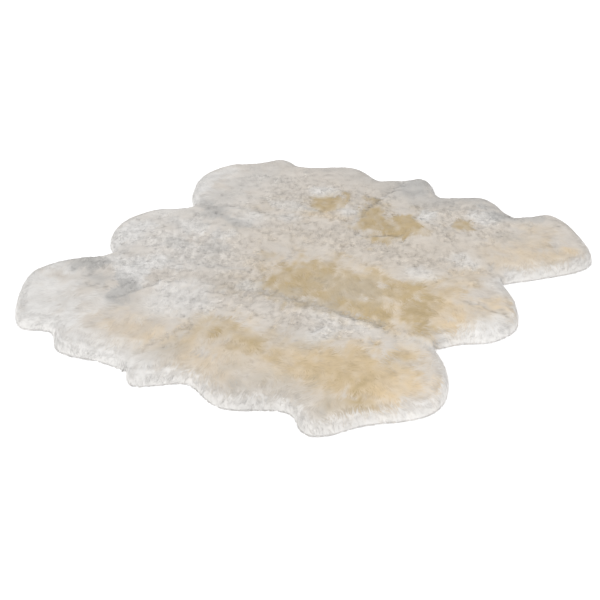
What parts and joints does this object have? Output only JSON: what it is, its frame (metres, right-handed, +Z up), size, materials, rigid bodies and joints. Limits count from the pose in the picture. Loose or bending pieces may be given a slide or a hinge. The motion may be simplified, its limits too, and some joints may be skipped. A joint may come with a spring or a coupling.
{
  "type": "sheepskin rug",
  "caption": "Large sheepskin rug with long ivory and cream wool, made of pelts sewn edge to edge, lying flat with a scalloped outline.",
  "frame": {"origin": "on the floor, under the middle of the rug's box", "axes": "+Z up through the wool, +Y from the front row of pelts to the back row, +X along the pelts' backbones from the left tips to the right tips"},
  "size_m": [1.8512, 2.04, 0.056],
  "materials": {
    "wool": "matt long wool, ivory to cream with tan patches",
    "hide": "matt suede, the flesh side of the hide"
  },
  "bodies": {
    "root": {"back_left_pelt": "wool", "back_right_pelt": "wool", "middle_left_pelt": "wool", "middle_right_pelt": "wool", "front_left_pelt": "wool", "front_right_pelt": "wool"}
  },
  "joints": []
}
